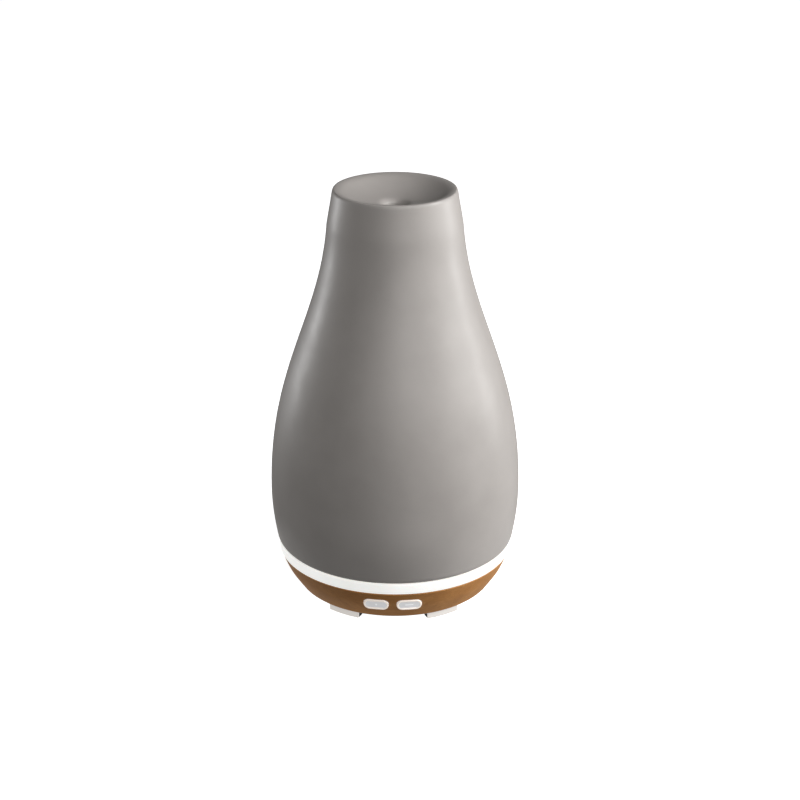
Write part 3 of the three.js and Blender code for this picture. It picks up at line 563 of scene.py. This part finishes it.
# ---------------------------------------------------------------- the wooden base
def wood_base():
    low, high = extent("wood_base")
    bottom_r, top_r, bulge = WOOD_BOTTOM_R, high.x, 1.2
    ledge_z, wall_z, bore_z = 17.0, 10.4, 8.6
    inside_y, outside_y = WOOD_BORE_R - 5, top_r + 1
    start, end = (bottom_r, low.z + 0.6), (top_r, high.z - 0.6)
    reach = ((start[0] + end[0]) / 2 + bulge, (start[1] + end[1]) / 2)
    edge = (bottom_r - 1.1, low.z)
    outline = [(WOOD_BORE_R, low.z), edge]
    outline += bezier(edge, (bottom_r - 0.5, low.z), (bottom_r - 0.15, low.z + 0.25), start, 4)
    outline += bezier(start, reach, reach, end, 18)
    outline += bezier(end, (top_r, high.z - 0.2), (top_r - 0.3, high.z), (top_r - 0.7, high.z), 4)
    outline += [(WOOD_LEDGE_R, high.z), (WOOD_LEDGE_R, ledge_z), (WOOD_WALL_R, wall_z), (WOOD_BORE_R, bore_z)]
    base = made("wood_shell", turned_mesh(outline, FINE))
    hole = pill(BUTTON_WIDE + 2 * BUTTON_GAP, BUTTON_HIGH + 2 * BUTTON_GAP)
    for node in ("mist_button", "light_button"):
        spot = middle(node)
        around = [(spot.x + x, spot.z + z) for x, z in hole]
        combine(base, "DIFFERENCE", run_along_y(around, (-outside_y, -inside_y)))
    inlet_low, inlet_high = extent("power_inlet")
    spare, corner_r = Vector((0.6, 0, 0.6)), 1.4
    inlet = rectangle(inlet_low - spare, inlet_high + spare, corner_r)
    combine(base, "DIFFERENCE", run_along_y(inlet, (inside_y, outside_y)))
    stands_for(eased(base, 0.28), "wood_base")


# ---------------------------------------------------------------- the buttons
def face_loop(centre, outline, raised):
    """An outline laid on a button's face, which curves with the base, and raised above it."""
    points = []
    for x, z in outline:
        r = BUTTON_FACE_LOW_R + BUTTON_FACE_SLOPE * (z + BUTTON_HIGH / 2) + raised
        across = centre.x + x
        points.append((across, -math.sqrt(r * r - across * across), centre.z + z))
    return points


def button(node, mark_wide, mark_high):
    """A cap with a raised rim and a dished face, on a flange and a stem that reach in to its switch."""
    low, high = extent(node)
    centre = middle(node)
    flange_wide, flange_high = high.x - low.x, high.z - low.z
    flange_ys, stem_wide = (-47.1, -48.1), 3
    side_raised, rim_wide, face_deep, weld = -0.5, 0.98, 3, 0.03
    # How far in from the edge, and how far above the face's curve
    rim = [(0.06, -0.27), (0.2, -0.09), (0.42, 0.0), (0.68, -0.05), (0.9, -0.2), (1.05, -0.36)]
    dish = [(1.3, -0.42), (1.9, -0.44), (BUTTON_HIGH / 2 - 0.01, -0.45)]

    def upright(outline, y):
        return [(centre.x + x, y, centre.z + z) for x, z in outline]

    stem, flange = pill(stem_wide, stem_wide), pill(flange_wide, flange_high)
    loops = [upright(stem, high.y), upright(stem, flange_ys[0])]
    loops += [upright(flange, y) for y in flange_ys]
    loops += [upright(pill(BUTTON_WIDE, BUTTON_HIGH), flange_ys[1])]
    loops += [face_loop(centre, pill(BUTTON_WIDE, BUTTON_HIGH), side_raised)]
    for inset, raised in rim + dish:
        loops.append(face_loop(centre, pill(BUTTON_WIDE, BUTTON_HIGH, inset), raised))
    bm = skin(loops, caps=(0,))
    bmesh.ops.remove_doubles(bm, verts=bm.verts, dist=weld)
    cap = shaded(made(f"{node}_cap", bm), angle=60)

    def face_or_rim(spot, normal):
        beyond = max(0.0, abs(spot.x - centre.x) - (BUTTON_WIDE - BUTTON_HIGH) / 2)
        from_edge = BUTTON_HIGH / 2 - math.hypot(beyond, spot.z - centre.z)
        return 0 if from_edge > rim_wide or spot.y > face_deep - BUTTON_FACE_LOW_R else 1

    # The rim faces take button_rim, a painted highlight for the light the raised, rounded rim catches.
    paint(cap, ["button_plastic", "button_rim"], face_or_rim)
    stands_for(cap, node)
    loops = []
    for inset, raised in ((0, side_raised), (0, -0.4), (0.05, -0.36), (mark_high / 2 - 0.02, -0.36)):
        loops.append(face_loop(centre, pill(mark_wide, mark_high, inset), raised))
    mark = shaded(cleaned(made(f"{node}_mark", skin(loops)), MARK_WELD))
    # The mark glows with painted light.
    mark.data.materials.append(materials["button_mark"])
    goes_with(mark, node)


# ---------------------------------------------------------------- the bottom cover, its feet and screws
def bottom_cover():
    low, high = extent("bottom_cover")
    r, spigot_inner_r, post_sink = high.x, PAN_SPIGOT_R - 1.6, 0.5
    outline = rounded([
        (0, PAN_Z),
        (r, PAN_Z, 0.15),
        (r, PAN_STEP_Z, 0.15),
        (PAN_SPIGOT_R, PAN_STEP_Z),
        (PAN_SPIGOT_R, PAN_RIM_Z, 0.3),
        (spigot_inner_r, PAN_RIM_Z, 0.3),
        (spigot_inner_r, PAN_FLOOR_Z),
        (0, PAN_FLOOR_Z),
    ])
    skirt_top = (PAN_Z + PAN_STEP_Z) / 2
    skirt = [(r - FOOT_SKIRT, low.z), (r, low.z), (r, skirt_top), (r - FOOT_SKIRT, skirt_top)]
    places = [middle(screw) for screw in BASE_SCREWS]
    pan = made("bottom_pan", turned_mesh(outline, FINE))
    combine(pan, "UNION", *[sector_mesh(skirt, angle, FOOT_HALF_ANGLE) for angle in FOOT_ANGLES])
    combine(pan, "UNION", *[rod_mesh(POST_R, PAN_Z + post_sink, high.z, p.x, p.y) for p in places])
    for bore_r, top_z in ((SCREW_HEAD_BORE_R, SCREW_HEAD_BORE_Z), (POST_HOLE_R, high.z + 1)):
        combine(pan, "DIFFERENCE", *[rod_mesh(bore_r, low.z - 1, top_z, p.x, p.y) for p in places])
    combine(pan, "DIFFERENCE", *grille_slots())
    eased(pan, 0.2)

    def pan_or_skirt(spot, normal):
        return 1 if spot.z < PAN_Z and math.hypot(spot.x, spot.y) > r - FOOT_SKIRT - 0.1 else 0

    # The skirts take foot_plastic, whose glow is painted light standing in for the floor's bounce.
    paint(pan, ["white_plastic", "foot_plastic"], pan_or_skirt)
    stands_for(pan, "bottom_cover")


def grille_slots():
    """Straight air slots that fill a circle under the fan."""
    reach, wide, pitch, slots = 12, 1.8, 3.4, 7
    fan = middle("fan_rotor")
    cutters = []
    for i in range(slots):
        y = (i - (slots - 1) / 2) * pitch
        half = math.sqrt(reach * reach - y * y)
        ys, zs = (y - wide / 2, y + wide / 2), (PAN_Z - 1, PAN_FLOOR_Z + 1)
        cutters.append(box_mesh((fan.x - half, fan.x + half), ys, zs))
    return cutters


def foot_pads():
    """Sectors as wide as the skirts. The second pad, at the side, shows how far out they reach."""
    low, high = extent("foot_pad_2")
    inner_r, outer_r = 43.6, high.x
    outline = rounded([(inner_r, low.z, 0.3), (outer_r, low.z, 0.3), (outer_r, high.z), (inner_r, high.z)])
    for i, angle in enumerate(FOOT_ANGLES):
        pad = shaded(made(f"rubber_pad_{i + 1}", sector_mesh(outline, angle, FOOT_HALF_ANGLE)))
        stands_for(pad, f"foot_pad_{i + 1}")


def pan_head_screw(node):
    """A cross-head screw seen from below: a domed head with its recess, and a plain shank."""
    low, high = extent(node)
    x, y = middle(node).xy
    head_r, head_z, shank_r = (high.x - low.x) / 2, low.z + 2, 1.5
    recess_long, recess_short, recess_deep = 1.7, 0.42, 1.1
    crown, shoulder = (head_r * 0.55, low.z + 0.08), (head_r, low.z + 1.1)
    outline = [(0, low.z), crown, (head_r * 0.85, low.z + 0.45), shoulder, (head_r, head_z)]
    outline += [(shank_r, head_z), (shank_r, high.z - 0.8), (0.8, high.z), (0, high.z)]
    screw = made(f"{node}_steel", turned_mesh(outline, SMALL, x, y))
    for half_x, half_y in ((recess_long, recess_short), (recess_short, recess_long)):
        zs = (low.z - 1, low.z + recess_deep)
        combine(screw, "DIFFERENCE", box_mesh((x - half_x, x + half_x), (y - half_y, y + half_y), zs))
    stands_for(eased(screw, 0.06, angle=50, segments=2), node)


# ---------------------------------------------------------------- the power inlet
def power_inlet():
    low, high = extent("power_inlet")
    outline = rectangle(low, high, 1.0)
    depth, bore_r = 9.5, 3.0
    countersink = [(0, -1), (bore_r + 0.6, -1), (bore_r, 0.6), (bore_r, depth), (0, depth)]
    bore = facing_back(turned_mesh(countersink, SMALL), high.y, middle("power_inlet").z)
    body = combine(made("inlet_body", run_along_y(outline, (low.y, high.y))), "DIFFERENCE", bore)
    stands_for(eased(body, 0.18), "power_inlet")


def inlet_pin():
    low, high = extent("inlet_pin")
    length, r = high.y - low.y, (high.x - low.x) / 2
    outline = [(0, 0.5), (0.5, 0.5), (0.5, 0), (r - 0.25, 0), (r, 0.3), (r, length), (0, length)]
    bm = facing_back(turned_mesh(outline, SMALL), high.y, middle("inlet_pin").z)
    stands_for(shaded(made("inlet_steel_pin", bm)), "inlet_pin")


# ---------------------------------------------------------------- the tank and what is in it
def water_tank():
    low, high = extent("water_tank")
    flange_r = high.x
    seat_r, seat_z, boss_r, boss_z, window_r = 11.2, 28.1, 16.9, 24.6, 8
    groove_r, groove_z, foot_r, flange_z = 47, 30.8, 50.6, 29.2
    inner_r, screw_boss_r = TANK_R - TANK_WALL, 3.8
    outline = rounded([
        (window_r, seat_z),
        (seat_r, seat_z),
        (seat_r, boss_z),
        (boss_r, boss_z, 0.4),
        (boss_r, 27.2),
        (groove_r, groove_z),
        (foot_r, groove_z),
        (foot_r, TANK_BOTTOM_Z),
        (flange_r, TANK_BOTTOM_Z, 0.4),
        (flange_r, flange_z, 0.5),
        (TANK_R + 0.4, flange_z, 0.8),
        (TANK_R, high.z, 0.5),
        (inner_r, high.z, 0.5),
        (inner_r - 0.2, 36.5, 3.0),
        (inner_r - 3.4, 33.4, 6.0),
        (seat_r + 2, TANK_FLOOR_Z),
        (window_r, TANK_FLOOR_Z, 0.6),
    ])
    tube_x = middle("air_hood").x
    places = [middle(screw) for screw in BASE_SCREWS]
    boss_low, boss_top, hole_top = low.z, TANK_FLOOR_Z + 1, TANK_BOTTOM_Z - 1
    tank = made("tank_cup", turned_mesh(outline, BROAD))
    combine(tank, "UNION", rod_mesh(AIR_TUBE_R, TANK_BOTTOM_Z - 1, AIR_TUBE_TOP_Z, tube_x))
    combine(tank, "UNION", *[rod_mesh(screw_boss_r, boss_low, boss_top, p.x, p.y) for p in places])
    combine(tank, "DIFFERENCE", rod_mesh(AIR_TUBE_BORE_R, TANK_BOTTOM_Z - 2, AIR_TUBE_TOP_Z + 1, tube_x))
    combine(tank, "DIFFERENCE", *[rod_mesh(POST_HOLE_R, boss_low - 1, hole_top, p.x, p.y) for p in places])
    stands_for(eased(tank, 0.3, angle=50), "water_tank")
    fill_line()


def fill_line():
    """A thin raised ring inside the tank that marks how high to fill it."""
    wall_r, low_z, high_z = TANK_R - TANK_WALL - 0.02, 62, 63.2
    inner_r, outer_r, edge = wall_r - 0.35, wall_r + 0.3, 0.15
    outline = rounded([(inner_r, low_z, edge), (outer_r, low_z), (outer_r, high_z), (inner_r, high_z, edge)])
    line = turned("tank_fill_line", outline, BROAD)
    line.data.materials.append(materials["tank_mark"])
    goes_with(line, "water_tank")


def mist_sender():
    """The steel disc and the silicone ring round it, seen at the bottom of the tank."""
    low, high = extent("sender_disc")
    r = high.x
    face = [(0, high.z - 0.1), (r * 0.55, high.z - 0.1), (r * 0.6, high.z), (r - 0.2, high.z)]
    disc = face + [(r, high.z - 0.2), (r, low.z), (0, low.z)]
    stands_for(turned("mist_disc", disc, BROAD), "sender_disc")
    low, high = extent("sender_seal")
    outer_r, inner_r = high.x, r + 0.3
    lip_r, lip_z = r - 1.3, extent("sender_disc")[1].z + 0.3
    seal = rounded([
        (inner_r, low.z, 0.1),
        (outer_r, low.z, 0.2),
        (outer_r, high.z, 0.2),
        (lip_r, high.z, 0.3),
        (lip_r, lip_z, 0.3),
        (inner_r, lip_z),
    ])
    stands_for(turned("seal_ring", seal, BROAD), "sender_seal")


def inner_lid():
    low, high = extent("inner_lid")
    flange_r, inner_r, chimney_r, chimney_z, swell_z = high.x, LID_SPIGOT_R - 1.2, 8, 140, 112
    dome, bore = (flange_r - 1.8, LID_DOME_Z), (chimney_r - 1.6, chimney_z + 1)
    outline = rounded([
        (inner_r, low.z, 0.4),
        (LID_SPIGOT_R, low.z, 0.4),
        (LID_SPIGOT_R, LID_FLANGE_Z),
        (flange_r, LID_FLANGE_Z, 0.4),
        (flange_r, LID_DOME_Z - 0.4, 0.9),
        dome,
    ])
    outline += bezier(dome, (48, swell_z), (chimney_r + 3.5, swell_z), (chimney_r, chimney_z), 30)
    tip = [(chimney_r, chimney_z), (chimney_r - 0.5, high.z, 0.5), (bore[0] - 0.2, high.z, 0.4), bore]
    outline += rounded(tip)[1:]
    outline += bezier(bore, (10.1, swell_z), (inner_r - 2, swell_z - 2), (inner_r, LID_DOME_Z - 0.8), 24)
    stands_for(turned("lid_shell", outline, BROAD), "inner_lid")


def mist_funnel():
    low, high = extent("mist_funnel")
    r, wall = high.x, 1.2
    shoulder_z, neck_r, neck_z = 104, 6.0, 134
    waist_z = (shoulder_z + neck_z) / 2
    outline = [(r - wall, low.z), (r, low.z), (r, shoulder_z)]
    outline += bezier((r, shoulder_z), (r, waist_z), (neck_r + 0.2, waist_z), (neck_r, neck_z), 16)
    outline += [(neck_r - 0.2, high.z), (neck_r - wall - 0.2, high.z), (neck_r - wall, neck_z)]
    outline += bezier(outline[-1], (neck_r - 1, waist_z), (r - wall, waist_z), (r - wall, shoulder_z), 16)
    funnel = made("funnel_shell", turned_mesh(outline, BROAD))
    across, along, window_zs = (-3.5, 3.5), (-16, 16), (low.z - 1, low.z + 9)
    combine(funnel, "DIFFERENCE", box_mesh(along, across, window_zs), box_mesh(across, along, window_zs))
    stands_for(eased(funnel, 0.25, angle=50), "mist_funnel")


def air_hood():
    low, high = extent("air_hood")
    x = middle("air_hood").x
    r, wall, window_half = (high.x - low.x) / 2, 1.2, 5
    roof_z = high.z - wall
    outline = rounded([
        (r - wall, low.z),
        (r, low.z),
        (r, high.z, 1.2),
        (0, high.z),
        (0, roof_z),
        (r - wall, roof_z, 0.6),
    ])
    hood = made("hood_shell", turned_mesh(outline, BROAD, x))
    window_ys, window_zs = (-window_half, window_half), (AIR_TUBE_TOP_Z - 1.5, roof_z)
    combine(hood, "DIFFERENCE", box_mesh((x, x + r + 1), window_ys, window_zs))
    stands_for(eased(hood, 0.2, angle=50), "air_hood")


# ---------------------------------------------------------------- the object
def build():
    make_materials()
    ceramic_cover()
    light_ring()
    wood_base()
    button("mist_button", mark_wide=1.1, mark_high=1.1)
    button("light_button", mark_wide=4.2, mark_high=0.7)
    bottom_cover()
    foot_pads()
    for screw in BASE_SCREWS:
        pan_head_screw(screw)
    power_inlet()
    inlet_pin()
    water_tank()
    mist_sender()
    inner_lid()
    mist_funnel()
    air_hood()
    for name, node in frame["nodes"].items():
        for place in node.material_slots:
            place.material = materials[slot_of_node[name]]


# ---------------------------------------------------------------- the studio, in metres, degrees and watts
AIM = Vector((0, 0, 0.12))  # where the softboxes point
WHITE, WORLD_STRENGTH = (1, 1, 1, 1), 0.1


def camera():
    distance, height, turn, pitch = 0.8712, 0.4625, math.radians(1.2), math.radians(22.535)
    data = bpy.data.cameras.new("camera")
    data.lens, data.sensor_width, data.shift_x = 83.24, 36, 0.0062
    obj = bpy.data.objects.new("camera", data)
    obj.location = (distance * math.sin(turn), -distance * math.cos(turn), height)
    obj.rotation_euler = (math.pi / 2 - pitch, 0, turn)
    bpy.context.scene.collection.objects.link(obj)
    bpy.context.scene.camera = obj


def lamp(name, shape, wide, high, power):
    data = bpy.data.lights.new(name, "AREA")
    data.shape = shape
    data.size, data.size_y = wide, high
    data.energy = power
    obj = bpy.data.objects.new(name, data)
    bpy.context.scene.collection.objects.link(obj)
    return obj


def softbox(name, around, above, distance, wide, high, power):
    """A rectangular lamp that faces the object, so far round it and above the level."""
    obj = lamp(name, "RECTANGLE", wide, high, power)
    a, b = math.radians(around), math.radians(above)
    away = Vector((math.sin(a) * math.cos(b), -math.cos(a) * math.cos(b), math.sin(b)))
    obj.location = AIM + away * distance
    obj.rotation_euler = away.to_track_quat("Z", "Y").to_euler()


def floor_bounce():
    """The light that a bright floor throws up at the base."""
    obj = lamp("floor_bounce", "ELLIPSE", wide=0.3, high=0.14, power=0.038)
    obj.location = (0.03, 0, 0.0003)
    obj.rotation_euler = (math.pi, 0, 0)
    obj.visible_camera = False


def floor_paper():
    g = Graph("floor_paper", Emission_Color=WHITE, Emission_Strength=0.88)
    color = g.blend(g.noise(3, 2), "f4f4f4", "f8f8f8")
    g.finish(color, 0.9, g.bump(g.noise(400, 2), 0.1, 0.02))


def paper(name, bm):
    """A sheet of the studio's paper, which lights and mirrors nothing."""
    mesh = bpy.data.meshes.new(name)
    bm.to_mesh(mesh)
    bm.free()
    obj = bpy.data.objects.new(name, mesh)
    bpy.context.scene.collection.objects.link(obj)
    obj.data.materials.append(materials["floor_paper"])
    obj.visible_diffuse = False
    obj.visible_glossy = False
    return obj


def floor_and_backdrop():
    floor_paper()
    half_width, wall_r, wall_high = 6, 5.9, 5
    bm = bmesh.new()
    bmesh.ops.create_grid(bm, size=half_width)
    paper("floor", bm)
    bm = bmesh.new()
    bmesh.ops.create_cone(bm, segments=64, radius1=wall_r, radius2=wall_r, depth=wall_high)
    wall = paper("backdrop", bm)
    wall.location.z = wall_high / 2
    wall.visible_shadow = False


def studio():
    scene = bpy.context.scene
    scene.view_settings.view_transform = "Standard"
    scene.world = bpy.data.worlds.new("studio")
    scene.world.use_nodes = True
    background = scene.world.node_tree.nodes["Background"]
    background.inputs["Color"].default_value = WHITE
    background.inputs["Strength"].default_value = WORLD_STRENGTH
    softbox("key", around=80, above=25, distance=1.1, wide=0.4, high=0.4, power=10.6)
    softbox("front_fill", around=20, above=35, distance=1.1, wide=0.7, high=0.7, power=5.6)
    softbox("left_strip", around=-118, above=0, distance=1.0, wide=0.22, high=0.24, power=3.1)
    softbox("right_strip", around=105, above=0, distance=1.0, wide=0.16, high=0.24, power=3.1)
    floor_bounce()
    floor_and_backdrop()
    camera()


build()
studio()
